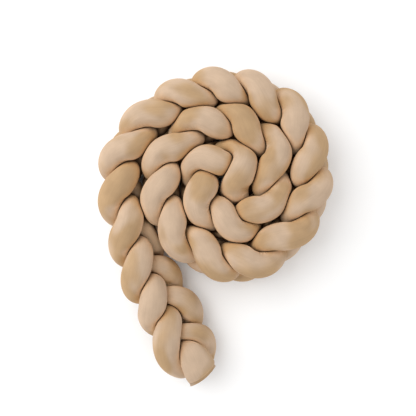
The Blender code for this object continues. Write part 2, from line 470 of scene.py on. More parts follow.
# %% Node helpers
def fill(tree, made, inputs):
    """Fills a node's inputs, named by label or number, with values or with links."""
    for name, value in inputs.items():
        if isinstance(value, bpy.types.NodeSocket):
            tree.links.new(value, made.inputs[name])
        else:
            made.inputs[name].default_value = value


def node(tree, kind, inputs=None, **settings):
    made = tree.nodes.new(kind)
    for name, setting in settings.items():
        setattr(made, name, setting)
    fill(tree, made, inputs or {})
    return made


def maths(tree, operation, *values):
    return node(tree, "ShaderNodeMath", dict(enumerate(values)), operation=operation).outputs[0]


def vectors(tree, operation, *values):
    made = node(tree, "ShaderNodeVectorMath", dict(enumerate(values)), operation=operation)
    return made.outputs["Value" if operation in ("DOT_PRODUCT", "LENGTH") else "Vector"]


def scaled(tree, vector, factor):
    inputs = {0: vector, "Scale": factor}
    return node(tree, "ShaderNodeVectorMath", inputs, operation="SCALE").outputs["Vector"]


def read(tree, name, kind="FLOAT"):
    made = node(tree, "GeometryNodeInputNamedAttribute", {"Name": name}, data_type=kind)
    return made.outputs["Attribute"]


def read_vector(tree, name):
    return read(tree, name, "FLOAT_VECTOR")


def store(tree, geometry, name, value, kind="FLOAT"):
    inputs = {"Geometry": geometry, "Name": name, "Value": value}
    made = node(tree, "GeometryNodeStoreNamedAttribute", inputs, data_type=kind)
    return made.outputs["Geometry"]


def store_vector(tree, geometry, name, value):
    return store(tree, geometry, name, value, "FLOAT_VECTOR")


def blur(tree, value, passes, weight=1.0, kind="FLOAT"):
    inputs = {"Value": value, "Iterations": passes, "Weight": weight}
    return node(tree, "GeometryNodeBlurAttribute", inputs, data_type=kind).outputs[0]


def set_position(tree, geometry, point):
    inputs = {"Geometry": geometry, "Position": point}
    return node(tree, "GeometryNodeSetPosition", inputs).outputs[0]


print("helpers for nodes:", fill.__name__, node.__name__, maths.__name__, vectors.__name__)

# %% [markdown]
# ## Make a tree and run it
# A tree has named inputs, so that it can run again with other values.  It ends in Realize
# Instances and Set Material, because an export drops instances.  run_tree() puts it on a mesh as
# a modifier, takes the result over as a plain mesh, and removes the modifier with its object.

# %% Tree helpers
def add_inputs(tree, rows):
    """Named inputs for a tree or a group, from rows of label, socket type and value."""
    for label, kind, value in rows:
        socket = tree.interface.new_socket(label, in_out="INPUT", socket_type=kind)
        if value is not None:
            socket.default_value = value
    return node(tree, "NodeGroupInput").outputs


def new_tree(name, rows):
    tree = bpy.data.node_groups.new(name, "GeometryNodeTree")
    tree.is_modifier = True
    for way in ("INPUT", "OUTPUT"):
        tree.interface.new_socket("Geometry", in_out=way, socket_type="NodeSocketGeometry")
    return tree, add_inputs(tree, rows)


def finish_tree(tree, geometry, material):
    """Realizes what the tree made, gives it its material and ends the tree."""
    real = node(tree, "GeometryNodeRealizeInstances", {"Geometry": geometry})
    inputs = {"Geometry": real.outputs[0], "Material": material}
    dressed = node(tree, "GeometryNodeSetMaterial", inputs)
    node(tree, "NodeGroupOutput", {"Geometry": dressed.outputs[0]})


def run_tree(tree, mesh, name, **values):
    """Runs a tree on a mesh through a modifier and returns the plain result as a new object."""
    carrier = link(bpy.data.objects.new(name + "_carrier", mesh))
    modifier = carrier.modifiers.new(tree.name, "NODES")
    modifier.node_group = tree
    labels = {item.name: item.identifier for item in tree.interface.items_tree}
    for label, value in values.items():
        modifier[labels[label.replace("_", " ")]] = value
    graph = bpy.context.evaluated_depsgraph_get()
    result = bpy.data.meshes.new_from_object(carrier.evaluated_get(graph))
    result.name = name
    bpy.data.objects.remove(carrier)
    return link(bpy.data.objects.new(name, result))


print("helpers for trees:", new_tree.__name__, finish_tree.__name__, run_tree.__name__)

# %% [markdown]
# ## The stuffed tube as a Geometry Nodes tree
# The skin of a stuffed tube follows a rule: it swells until something stops it.  Sculpting each
# lobe by hand would be slow, and they would still cut into each other.  So one tree
# makes every tube from its line and from all the lines round it.  Its inputs are named for what
# a maker would change: which tube it is, how many points go round it, and the gap that is left
# where two tubes press on each other.

# %% The tree and its inputs
SIDES = 36
TUBE_GAP = 0.0006

tube_tree, given = new_tree("stuffed tube", [
    ("All lines", "NodeSocketObject", None),
    ("This tube", "NodeSocketInt", 0),
    ("Sides", "NodeSocketInt", SIDES),
    ("Gap", "NodeSocketFloat", TUBE_GAP),
    ("Material", "NodeSocketMaterial", None),
])
print("inputs:", [item.name for item in tube_tree.interface.items_tree])

# %% [markdown]
# ## Sweep a ring along the line
# Curve to Mesh puts a ring of points round each point of the line.  While it does, each skin
# point is told the middle that it belongs to, the ray from there that it may move along, and its
# place on the cloth: round the tube and along it.  The velvet reads that place later, so its
# pattern follows the cloth round every bend.

# %% Swept rings
def swept_rings(tree, given):
    """A unit ring swept along the line; its points keep their middle and their ray."""
    curve = node(tree, "GeometryNodeMeshToCurve", {"Mesh": given["Geometry"]}).outputs[0]
    inputs = {"Curve": curve, "Tilt": read(tree, "twist")}
    curve = node(tree, "GeometryNodeSetCurveTilt", inputs).outputs[0]
    for name, kind in (("middle", "Position"), ("level", "Normal"), ("travel", "Tangent")):
        value = node(tree, "GeometryNodeInput" + kind).outputs[0]
        curve = store_vector(tree, curve, name, value)
    ring = node(tree, "GeometryNodeCurvePrimitiveCircle", {"Resolution": given["Sides"]})
    inputs = {"Curve": curve, "Profile Curve": ring.outputs[0], "Fill Caps": True}
    skin = node(tree, "GeometryNodeCurveToMesh", inputs).outputs[0]
    here = node(tree, "GeometryNodeInputPosition").outputs[0]
    ray = vectors(tree, "SUBTRACT", here, read_vector(tree, "middle"))
    ray = vectors(tree, "NORMALIZE", ray)
    skin = store_vector(tree, skin, "ray", ray)
    ray, level = read_vector(tree, "ray"), read_vector(tree, "level")
    side = vectors(tree, "CROSS_PRODUCT", read_vector(tree, "travel"), level)
    cloth = node(tree, "ShaderNodeCombineXYZ", {
        "X": maths(tree, "MULTIPLY", vectors(tree, "DOT_PRODUCT", ray, level), TUBE_RADIUS),
        "Y": maths(tree, "MULTIPLY", vectors(tree, "DOT_PRODUCT", ray, side), TUBE_RADIUS),
        "Z": read(tree, "along"),
    })
    return store_vector(tree, skin, "cloth", cloth.outputs[0])


skin = swept_rings(tube_tree, given)
print("nodes for the rings:", len(tube_tree.nodes))

# %% [markdown]
# ## How far the cloth reaches where nothing presses
# The free reach of a point is the unpressed section: its ray stretched by wide and thick.  On
# the inside of a bend there is only room up to the centre of the bend, and a smooth minimum
# brings the reach down to that without an edge.

# %% The free section
BEND_ROOM = 0.75
BEND_SOFTNESS = 0.010
STRAIGHT = 1e-3


def free_section(tree, skin):
    """The unpressed section: its ray and half size, less on the inside of a bend."""
    round_ray, level = read_vector(tree, "ray"), read_vector(tree, "level")
    across = scaled(tree, level, vectors(tree, "DOT_PRODUCT", round_ray, level))
    upright = vectors(tree, "SUBTRACT", round_ray, across)
    across = scaled(tree, across, read(tree, "wide"))
    upright = scaled(tree, upright, read(tree, "thick"))
    span = vectors(tree, "ADD", across, upright)
    skin = store_vector(tree, skin, "span", span)
    span = read_vector(tree, "span")
    ray = vectors(tree, "NORMALIZE", span)
    skin = store_vector(tree, skin, "ray", ray)
    inside = vectors(tree, "DOT_PRODUCT", read_vector(tree, "ray"),
                     read_vector(tree, "curl"))
    room = maths(tree, "DIVIDE", BEND_ROOM, maths(tree, "MAXIMUM", inside, STRAIGHT))
    size = vectors(tree, "LENGTH", span)
    return store(tree, skin, "free", maths(tree, "SMOOTH_MIN", size, room, BEND_SOFTNESS))


skin = free_section(tube_tree, skin)
skin = store(tube_tree, skin, "reach", read(tube_tree, "free"))
print("nodes with the free section:", len(tube_tree.nodes))

# %% [markdown]
# ## How near the next tube is
# A point of the skin asks the helper mesh for the nearest edge with a given tube or stretch
# number.  A tube that lies at the top or bottom of the braid is free above or below, so it holds
# its round better: its line counts as nearer by its firmness, and the next tube gives way to it.

# %% Distance to the nearest line
FIRMNESS = 0.38
MIDDLE_HEIGHT = 0.0545
FAR_AWAY = 1.0


def firmness(tree, point):
    """By how much a line counts as nearer there: more at the top and bottom of the braid."""
    split = node(tree, "ShaderNodeSeparateXYZ", {0: point})
    height = maths(tree, "SUBTRACT", split.outputs["Z"], MIDDLE_HEIGHT)
    return maths(tree, "MULTIPLY", maths(tree, "ABSOLUTE", height), FIRMNESS)


def nearest_line(tree, lines, key, number, point):
    """Distance from a point to the nearest edge whose key is that number, less its firmness."""
    inputs = {
        "Geometry": lines,
        "Group ID": read(tree, key, "INT"),
        "Sample Position": point,
        "Sample Group ID": number,
    }
    near = node(tree, "GeometryNodeProximity", inputs, target_element="EDGES")
    inputs = {"Switch": near.outputs["Is Valid"], "False": FAR_AWAY}
    firm = firmness(tree, near.outputs["Position"])
    inputs["True"] = maths(tree, "SUBTRACT", near.outputs["Distance"], firm)
    return node(tree, "GeometryNodeSwitch", inputs, input_type="FLOAT").outputs[0]


print("a line at the upper edge counts as nearer by", round(1000 * FIRMNESS * RISE, 1), "mm")

# %% [markdown]
# ## Let the tubes press on each other
# Two stuffed tubes that touch meet half way.  So a repeat zone moves each point in or out until
# it is as near to the nearest other line as to its own, less the gap.  Each step also blurs the
# reach a little along the cloth, because velvet rolls over into a crease and doesn't fold into
# it.

# %% The pressing zone
PRESSING_STEPS = 16
STEP_SHARE = 0.5
BLUR_PASSES = 2
FULLNESS = 0.62
OWN_STRETCHES = range(2, 8)


def pressing_zone(tree, given, skin):
    """Moves every reach until its point is half way to the nearest other line."""
    start = node(tree, "GeometryNodeRepeatInput")
    end = node(tree, "GeometryNodeRepeatOutput")
    start.pair_with_output(end)
    start.inputs["Iterations"].default_value = PRESSING_STEPS
    tree.links.new(skin, start.inputs["Geometry"])
    lines = node(tree, "GeometryNodeObjectInfo", {"Object": given["All lines"]})
    lines = lines.outputs["Geometry"]
    reach = read(tree, "reach")
    step = scaled(tree, read_vector(tree, "ray"), reach)
    point = vectors(tree, "ADD", read_vector(tree, "middle"), step)
    clear = FAR_AWAY
    for other in range(1, STRANDS):
        number = maths(tree, "ADD", given["This tube"], float(other))
        number = maths(tree, "MODULO", number, float(STRANDS))
        distance = nearest_line(tree, lines, "tube", number, point)
        clear = maths(tree, "MINIMUM", clear, distance)
    for away in OWN_STRETCHES:
        for number in (away, -away):
            number = maths(tree, "ADD", read(tree, "stretch", "INT"), float(number))
            distance = nearest_line(tree, lines, "stretch", number, point)
            clear = maths(tree, "MINIMUM", clear, distance)
    clear = maths(tree, "ADD", clear, firmness(tree, read_vector(tree, "middle")))
    miss = maths(tree, "SUBTRACT", maths(tree, "SUBTRACT", clear, reach), given["Gap"])
    moved = maths(tree, "MULTIPLY_ADD", miss, STEP_SHARE, reach)
    share = maths(tree, "DIVIDE", reach, read(tree, "free"))
    even = blur(tree, share, BLUR_PASSES)
    short = maths(tree, "SUBTRACT", 1.0, even)
    swollen = maths(tree, "MULTIPLY_ADD", short, FULLNESS, even)
    swollen = maths(tree, "MULTIPLY", swollen, read(tree, "free"))
    moved = maths(tree, "MINIMUM", moved, swollen)
    skin = store(tree, start.outputs["Geometry"], "reach", moved)
    tree.links.new(skin, end.inputs["Geometry"])
    return end.outputs["Geometry"]


skin = pressing_zone(tube_tree, given, skin)
print("nodes with the pressing zone:", len(tube_tree.nodes))

# %% [markdown]
# ## Put the skin in its place
# Now each point goes to the end of its reach, and the sewn ends get their bow and slant.  On the
# inside of a tight bend the rings crowd together, so the skin is ironed there with a blur that
# is strong only where the bend is tight.  Last, nothing may go below the surface: the maximum
# with a height of zero flattens each tube where the roll stands on it.

# %% Placed skin
IRON_PASSES = 30
TIGHT_BEND = (0.2, 0.6)
LEAST_IRONING = 0.05


def placed_skin(tree, skin):
    """Puts the skin where its reach says, irons its tight bends and flattens it below."""
    free, reach = read(tree, "free"), read(tree, "reach")
    skin = store(tree, skin, "pressed", maths(tree, "SUBTRACT", free, reach))
    ray = read_vector(tree, "ray")
    point = vectors(tree, "ADD", read_vector(tree, "middle"), scaled(tree, ray, reach))
    level = vectors(tree, "DOT_PRODUCT", ray, read_vector(tree, "level"))
    across = maths(tree, "DIVIDE", maths(tree, "MULTIPLY", level, reach), read(tree, "wide"))
    bow = maths(tree, "SUBTRACT", 1.0, maths(tree, "MULTIPLY", across, across))
    bow = scaled(tree, read_vector(tree, "outward"), bow)
    point = vectors(tree, "ADD", point, bow)
    slant = scaled(tree, read_vector(tree, "slant"), across)
    point = vectors(tree, "ADD", point, slant)
    skin = set_position(tree, skin, point)
    inside = vectors(tree, "DOT_PRODUCT", ray, read_vector(tree, "curl"))
    inside = maths(tree, "MULTIPLY", inside, free)
    skin = store(tree, skin, "gather", inside)
    tight = node(tree, "ShaderNodeMapRange", {
        "Value": inside,
        "From Min": TIGHT_BEND[0],
        "From Max": TIGHT_BEND[1],
        "To Min": LEAST_IRONING,
    }).outputs["Result"]
    here = node(tree, "GeometryNodeInputPosition").outputs[0]
    even = blur(tree, here, IRON_PASSES, tight, "FLOAT_VECTOR")
    point = vectors(tree, "MAXIMUM", even, (-FAR_AWAY, -FAR_AWAY, 0.0))
    return set_position(tree, skin, point)


skin = placed_skin(tube_tree, skin)
finish_tree(tube_tree, skin, given["Material"])
print("nodes in the tree:", len(tube_tree.nodes))

# %% [markdown]
# ## Small helpers for the velvet
# What all three velvets share is built once, as a shader node group with named inputs and
# outputs.  Besides maths, it needs a noise of a given size, and a smooth step that turns a noise
# into patches.

# %% Shader helpers
def shader_group(name, inputs, outputs):
    """A shader node group with named float or vector inputs and float outputs."""
    group = bpy.data.node_groups.new(name, "ShaderNodeTree")
    for label in outputs:
        group.interface.new_socket(label, in_out="OUTPUT", socket_type="NodeSocketFloat")
    return group, add_inputs(group, inputs)


def noise(tree, place, size, detail=2.0, roughness=0.5):
    inputs = {"Vector": place, "Scale": 1 / size, "Detail": detail, "Roughness": roughness}
    return node(tree, "ShaderNodeTexNoise", inputs).outputs["Fac"]


def ramp(tree, value, low, high):
    """Smoothly from 0 at low to 1 at high."""
    inputs = {"Value": value, "From Min": low, "From Max": high}
    made = node(tree, "ShaderNodeMapRange", inputs, interpolation_type="SMOOTHSTEP")
    return made.outputs["Result"]


print("helpers for shaders:", shader_group.__name__, noise.__name__, ramp.__name__)

# %% [markdown]
# ## What makes it look like velvet
# The pile of velvet lies down wherever a hand or the next tube has brushed it, so one cloth shows
# two tones: a light, pinkish beige where the pile stands up, and a golden tan where it lies.
# Those patches are a few centimetres wide with soft edges.  Faint streaks run along each tube,
# the pile itself is a fine grain, and where a tube bends sharply the cloth gathers into small
# pleats.  The group puts these out as values from 0 to 1, read from the tube's own cloth
# coordinates.

# %% The nap group
PATCH_SIZE = 0.052
PATCH_EDGE = (0.45, 0.62)
SMUDGE_SIZE = 0.018
STREAK_SPACING = 0.0022
STREAK_LENGTH = 14.0
PILE_SIZE = 0.0007
PLEAT_SPACING = 0.008
PLEAT_WANDER = 0.012
PLEAT_NARROWING = 2.0


def nap_group():
    inputs = [
        ("Cloth", "NodeSocketVector", None),
        ("Shift", "NodeSocketVector", None),
        ("Gather", "NodeSocketFloat", 0.0),
        ("Lying Low", "NodeSocketFloat", PATCH_EDGE[0]),
        ("Lying High", "NodeSocketFloat", PATCH_EDGE[1]),
    ]
    outputs = ["Lying", "Smudge", "Streak", "Pile", "Pleat"]
    group, given = shader_group("velvet nap", inputs, outputs)
    place = vectors(group, "ADD", given["Cloth"], given["Shift"])
    patch = noise(group, place, PATCH_SIZE, detail=1.5, roughness=0.4)
    lying = ramp(group, patch, given["Lying Low"], given["Lying High"])
    smudge = noise(group, place, SMUDGE_SIZE, detail=3.0)
    thin = vectors(group, "MULTIPLY", place, (1.0, 1.0, 1 / STREAK_LENGTH))
    streak = noise(group, thin, STREAK_SPACING, detail=1.0)
    pile = noise(group, place, PILE_SIZE, detail=2.0, roughness=0.7)
    bent = noise(group, place, SMUDGE_SIZE, detail=0.0)
    along = node(group, "ShaderNodeSeparateXYZ", {0: given["Cloth"]}).outputs["Z"]
    along = maths(group, "MULTIPLY_ADD", bent, PLEAT_WANDER, along)
    wave = maths(group, "COSINE", maths(group, "MULTIPLY", along, 2 * math.pi / PLEAT_SPACING))
    valley = maths(group, "POWER", maths(group, "MULTIPLY_ADD", wave, 0.5, 0.5), PLEAT_NARROWING)
    valley = maths(group, "MULTIPLY", valley, given["Gather"])
    node(group, "NodeGroupOutput", dict(zip(outputs, (lying, smudge, streak, pile, valley))))
    return group


NAP = nap_group()
print("nap group:", [item.name for item in NAP.interface.items_tree])

# %% [markdown]
# ## The colours of the velvet
# One dyer's lot serves all three tubes, so they share their colours.  Painted sheen makes the
# colour paler where the pile is seen from the side, for velvet's pale rims, and painted bounce
# light makes it warmer where it is half sheltered.  Deep in a crease and in the stitched groove,
# painted shade makes it dark brown.

# %% Velvet colours
# Painted sheen: how much paler the colour gets where the cloth is seen from the side.
PAINTED_RIM_SHEEN = 0.20
STANDING_COLOUR = (0.474, 0.349, 0.248, 1)
LYING_COLOUR = (0.400, 0.266, 0.148, 1)
# Painted shade: the dark brown mixed in deep in the creases and in the stitched groove, and the
# shelter at which it starts and is full.
PAINTED_SHADE_COLOUR = (0.100, 0.038, 0.009, 1)
PAINTED_SHADE_SHELTER = (0.78, 1.0)
# Painted bounce light: a warmer tint where the cloth is half sheltered.
PAINTED_BOUNCE_SHELTER = (0.12, 0.80)
PAINTED_BOUNCE_TINT = (1.32, 1.26, 1.11, 1)
STREAK_SHARE = 0.06
SMUDGE_SHARE = 0.17
PILE_SHARE = 0.07
PILE_DEPTH = 0.00030
# How far painted shade darkens the stitched groove.
SEAM_SHADE = 0.45
PLEAT_DEPTH = 0.0018
GATHERED = (0.10, 0.50)
RELIEF = 0.8
STREAK_RELIEF = 0.5
SURFACE = {
    "Roughness": 0.92,
    "Specular IOR Level": 0.08,
    "Sheen Weight": 0.16,
    "Sheen Roughness": 0.45,
    "Sheen Tint": (1.0, 0.68, 0.44, 1),
}
print("standing pile:", STANDING_COLOUR[:3], " lying pile:", LYING_COLOUR[:3])

# %% [markdown]
# ## The velvet of each tube
# The two tones of the nap come first, and each effect is mixed over the last one.  The pile,
# streaks and pleats also give the height for a bump.  Each tube gets its own shift of the nap,
# or the patches would repeat from tube to tube.

# %% Velvet materials
MIX_SHARE, MIX_FIRST, MIX_SECOND, MIX_RESULT = 0, 6, 7, 2


def mix(tree, share, first, second, blend="MIX"):
    """Mixes two colours; the numbers above are the colour sockets of a Mix node."""
    inputs = {MIX_SHARE: share, MIX_FIRST: first, MIX_SECOND: second}
    made = node(tree, "ShaderNodeMix", inputs, data_type="RGBA", blend_type=blend)
    return made.outputs[MIX_RESULT]


def attribute(tree, name, output="Fac"):
    return node(tree, "ShaderNodeAttribute", attribute_name=name).outputs[output]


def velvet(name, shift):
    """Velvet whose nap patches start at a shift along and round the cloth."""
    material = bpy.data.materials.new(name)
    material.use_nodes = True
    tree = material.node_tree
    shader = tree.nodes["Principled BSDF"]
    gather = ramp(tree, attribute(tree, "gather"), *GATHERED)
    inputs = {"Cloth": attribute(tree, "cloth", "Vector"), "Shift": shift, "Gather": gather}
    nap = node(tree, "ShaderNodeGroup", inputs, node_tree=NAP)
    colour = mix(tree, nap.outputs["Lying"], STANDING_COLOUR, LYING_COLOUR)
    shares = {"Smudge": SMUDGE_SHARE, "Streak": STREAK_SHARE, "Pile": PILE_SHARE}
    for label, share in shares.items():
        factor = maths(tree, "MULTIPLY_ADD", nap.outputs[label], 2 * share, 1 - share)
        colour = mix(tree, 1.0, colour, factor, "MULTIPLY")
    # Painted shade: the colour goes dark brown where the cloth lies deep in a crease.
    painted_shade_mask = ramp(tree, attribute(tree, "sheltered"), *PAINTED_SHADE_SHELTER)
    # Painted sheen: the colour is made paler where the cloth is seen from the side.
    slope = node(tree, "ShaderNodeLayerWeight").outputs["Facing"]
    glow = maths(tree, "MULTIPLY_ADD", slope, PAINTED_RIM_SHEEN, 1.0)
    colour = mix(tree, 1.0, colour, glow, "MULTIPLY")
    # Painted bounce light: the colour turns warmer where the cloth is half sheltered.
    painted_bounce_mask = ramp(tree, attribute(tree, "sheltered"), *PAINTED_BOUNCE_SHELTER)
    colour = mix(tree, painted_bounce_mask, colour, mix(tree, 1.0, colour, PAINTED_BOUNCE_TINT, "MULTIPLY"))
    colour = mix(tree, painted_shade_mask, colour, PAINTED_SHADE_COLOUR)
    # Painted shade in the stitched groove.
    seam = maths(tree, "MULTIPLY", attribute(tree, "seam"), SEAM_SHADE)
    colour = mix(tree, seam, colour, PAINTED_SHADE_COLOUR)
    streaks = nap.outputs["Streak"]
    height = maths(tree, "MULTIPLY_ADD", streaks, STREAK_RELIEF, nap.outputs["Pile"])
    height = maths(tree, "MULTIPLY_ADD", nap.outputs["Pleat"], -PLEAT_DEPTH / PILE_DEPTH, height)
    inputs = {"Strength": RELIEF, "Distance": PILE_DEPTH, "Height": height}
    raised = node(tree, "ShaderNodeBump", inputs).outputs["Normal"]
    fill(tree, shader, SURFACE | {"Base Color": colour, "Normal": raised})
    return material


SHIFTS = ((0.0, 0.0, 0.0), (0.3, 0.1, 3.1), (0.7, 0.4, 6.4))
velvets = [velvet("beige_velvet_%d" % (number + 1), shift) for number, shift in enumerate(SHIFTS)]
print("velvets:", [material.name for material in velvets])

# %% [markdown]
# ## Make the three tubes
# The tree runs once for each line.  The result is taken over as a plain mesh and the modifier is
# gone before anything else touches the tube, so what follows can store its own values on it.

# %% Run the tree on each line
tubes = []
for number, ((name, *_), mesh) in enumerate(zip(TUBES, tube_lines)):
    values = {"All_lines": lines_object, "This_tube": number}
    values["Material"] = velvets[number]
    tube = run_tree(tube_tree, mesh, "velvet_tube_%d" % (number + 1), **values)
    tubes.append(tube)
    print(tube.name, len(tube.data.vertices), "points")
bpy.data.objects.remove(lines_object)

# %% [markdown]
# ## Where the cloth is held
# The tree puts the skin in its place, but real cloth is never that even, so the next step lets
# each skin move as a cloth.  It may not move everywhere: it is held where another tube or the
# surface presses on it, and at its sewn ends.  The tree has kept how far each point is pressed
# in, so the share that is held can be worked out from that.

# %% Held places
HELD_PRESS = (0.0020, 0.0070)
HELD_END = 0.010
HELD_FLOOR = 0.0012
WEIGHT_STEPS = 10


def column(items, name, width=1, kind=np.float32):
    """One value of each item of a mesh, such as its points or edges, as an array."""
    values = np.empty(width * len(items), dtype=kind)
    items.foreach_get(name, values)
    return values.reshape(-1, width) if width > 1 else values


def point_values(mesh, name, kind=np.float32):
    return column(mesh.attributes[name].data, "value", kind=kind)


def points_of(mesh):
    return column(mesh.vertices, "co", 3)


def held_share(mesh):
    """From 0, where the cloth is free, to 1, where it is pressed, sewn or on the surface."""
    free, full = HELD_PRESS
    pressed = np.clip((point_values(mesh, "pressed") - free) / (full - free), 0, 1)
    along = point_values(mesh, "along")
    to_end = np.minimum(along, along.max() - along)
    sewn = np.clip(2 - to_end / HELD_END, 0, 1)
    resting = (points_of(mesh)[:, 2] < HELD_FLOOR).astype(float)
    return np.maximum(np.maximum(pressed, sewn), resting)


held = [held_share(tube.data) for tube in tubes]
for tube, share in zip(tubes, held):
    print(tube.name, "held over", round(100 * float(share.mean())), "% of its skin")

# %% [markdown]
# ## Make each skin a cloth
# Blender's cloth modifier has what a stuffed skin needs: a pressure for the filling, and a group
# of points that are pinned.  The cloth is cut a little larger than it lies, so that it puckers
# where a held place meets a free one.  It moves without gravity, or it would sag where the real
# filling holds it up.

# %% Cloth settings
FILLING_PRESSURE = 4.0
CLOTH_ALLOWANCE = 0.02
CLOTH_FRAMES = 20
CLOTH_QUALITY = 5
CLOTH_BENDING = 0.3


def make_cloth(tube, share):
    """Adds the cloth, which the held places pin."""
    group = tube.vertex_groups.new(name="held")
    steps = np.round(share * WEIGHT_STEPS).astype(int)
    for step in range(1, WEIGHT_STEPS + 1):
        group.add(np.flatnonzero(steps == step).tolist(), step / WEIGHT_STEPS, "REPLACE")
    cloth = tube.modifiers.new("filling", "CLOTH")
    settings = cloth.settings
    settings.quality = CLOTH_QUALITY
    settings.use_pressure = True
    settings.uniform_pressure_force = FILLING_PRESSURE
    settings.effector_weights.gravity = 0
    settings.shrink_min = -CLOTH_ALLOWANCE
    settings.bending_stiffness = CLOTH_BENDING
    settings.vertex_group_mass = group.name
    cloth.collision_settings.use_collision = False
    cloth.point_cache.frame_end = CLOTH_FRAMES


print("the cloth moves for", CLOTH_FRAMES, "frames")

# %% [markdown]
# ## Let the filling press the cloth out
# All three cloths move together. Then each move is evened out, capped, so that no tube reaches
# into the next one, and kept as plain points.

# %% Press the cloth out
MOVE_PASSES = 2
MOST_MOVE_FREE = 0.0022
MOST_MOVE_HELD = 0.0004
LEAST_MOVE = 1e-9


def averaged(mesh, values, passes):
    """Each point's number or vector averaged with its neighbours along the mesh's edges."""
    if values.ndim > 1:
        return np.column_stack([averaged(mesh, axis, passes) for axis in values.T])
    a, b = column(mesh.edges, "vertices", 2, np.int32).T
    count = len(mesh.vertices)
    touching = np.bincount(a, minlength=count) + np.bincount(b, minlength=count)
    for _ in range(passes):
        total = np.bincount(a, values[b], count) + np.bincount(b, values[a], count)
        values = 0.5 * values + 0.5 * total / touching
    return values


def put_points(mesh, points):
    """Moves a mesh's points to new places, none of them below the surface."""
    points[:, 2] = np.maximum(points[:, 2], 0)
    mesh.vertices.foreach_set("co", points.ravel())
    mesh.update()


def settle(tube, share, before, after):
    """Evens out and caps the move of each point and keeps the result as plain points."""
    move = averaged(tube.data, after - before, MOVE_PASSES)
    most = MOST_MOVE_FREE + (MOST_MOVE_HELD - MOST_MOVE_FREE) * share
    size = np.maximum(np.linalg.norm(move, axis=1), LEAST_MOVE)
    tube.modifiers.clear()
    tube.vertex_groups.clear()
    put_points(tube.data, before + move * np.minimum(1, most / size)[:, None])
    print(tube.name, "moved by up to", round(1000 * float(size.max()), 1), "mm before the cap,",
          round(1000 * float(np.median(size)), 2), "mm in the middle")


before = [points_of(tube.data) for tube in tubes]
for tube, share in zip(tubes, held):
    make_cloth(tube, share)
for frame_number in range(1, CLOTH_FRAMES + 1):
    bpy.context.scene.frame_set(frame_number)
graph = bpy.context.evaluated_depsgraph_get()
after = [points_of(tube.evaluated_get(graph).data) for tube in tubes]
for row in zip(tubes, held, before, after):
    settle(*row)
bpy.context.scene.frame_set(1)

# %% [markdown]
# ## Keep the tubes apart
# Ironed and pressed cloth can stand a millimetre or two into its neighbour, where no eye sees it,
# but a maker who prints or simulates the part would find it.  So each point looks for the nearest
# skin of another tube, or of its own tube at least two stretches away.  Where it is too close,
# or inside, it gives way by half of what is missing, and the other skin gives way by the rest.
# The skins are cut into their stretches first, so that each search is a short one.  A point
# counts as inside only if it lies nearly straight behind the nearest face, and less deep with
# each pass, because past the sharp edge of a sewn end the nearest face can look the wrong way.

# %% Push touching skins apart
CLEARANCE = 0.0007
SEARCH_REACH = 0.008
SURELY_INSIDE = 0.75
APART_PASSES = 6


def skin_patches(tube):
    """The tube's stretches: for each its number, its box and a tree of its faces."""
    points = points_of(tube.data)
    stretch = point_values(tube.data, "stretch", np.int32)
    faces = {number: [] for number in np.unique(stretch).tolist()}
    for face in tube.data.polygons:
        if len(face.vertices) < SIDES:
            faces[stretch[face.vertices[0]]].append(list(face.vertices))
    corners = points.tolist()
    patches = []
    for number, rows in faces.items():
        near = points[stretch == number]
        box = near.min(axis=0) - SEARCH_REACH, near.max(axis=0) + SEARCH_REACH
        patches.append((number, box, BVHTree.FromPolygons(corners, rows)))
    return points, stretch, patches


def give_way(points, stretch, patches, own, deepest):
    """The move that takes each point half way out of what it is too close to."""
    move = np.zeros_like(points)
    nearest = np.full(len(points), SEARCH_REACH)
    for number, (low, high), tree in patches:
        close = ((points > low) & (points < high)).all(axis=1)
        if own:
            close &= np.abs(stretch - number) >= OWN_STRETCHES[0]
        for i in np.flatnonzero(close).tolist():
            point = Vector(points[i].tolist())
            found, normal, _, distance = tree.find_nearest(point, nearest[i])
            if found is None:
                continue
            nearest[i] = distance
            behind = normal.dot(point - found) < -SURELY_INSIDE * distance
            inside = behind and distance < deepest
            outside = -distance if inside else distance
            way = normal if inside else (point - found).normalized()
            move[i] = max(0.0, CLEARANCE - outside) / 2 * np.array(way)
    return move


for step in range(APART_PASSES):
    skins = [skin_patches(tube) for tube in tubes]
    deepest = SEARCH_REACH / (step + 1)
    most = 0.0
    for number, (tube, (points, stretch, _)) in enumerate(zip(tubes, skins)):
        move = sum(
            give_way(points, stretch, patches, other == number, deepest)
            for other, (_, _, patches) in enumerate(skins)
        )
        most = max(most, float(np.linalg.norm(move, axis=1).max()))
        put_points(tube.data, points + averaged(tube.data, move, 1))
    print("skins give way by up to", round(1000 * most, 2), "mm")

# %% [markdown]
# ## How sheltered each place is
# Deep between the tubes the pile hardly sees the light, and the velvet paints shade there, a
# deep brown.  A shadow alone gives a grey crease, so each point looks out in fourteen fixed
# directions round its normal, and the share that another tube blocks is kept as an attribute,
# from which the velvet paints its crease shade and its warm bounce light.
# The set of directions is a sunflower spiral on the half sphere, denser round the normal, as the
# light that counts is.

# %% Look out from each point
LOOKS = 14
LOOK_REACH = 0.07
LOOK_START = 0.0008
NEARLY_UPRIGHT = 0.9
SHELTER_PASSES = 2


def spiral_looks(count):
    """Directions over a half sphere round +Z, denser near +Z."""
    number = np.arange(count) + 0.5
    turn = math.pi * (1 + math.sqrt(5)) * number
    flat = np.sqrt(number / count)
    return np.column_stack([flat * np.cos(turn), flat * np.sin(turn), np.sqrt(1 - flat ** 2)])


def all_skins(tubes):
    """One tree of faces for all tubes, to shoot rays at."""
    corners, faces = [], []
    for tube in tubes:
        first = sum(len(rows) for rows in corners)
        corners.append(points_of(tube.data))
        faces += [[first + i for i in face.vertices] for face in tube.data.polygons]
    return BVHTree.FromPolygons(np.concatenate(corners).tolist(), faces)


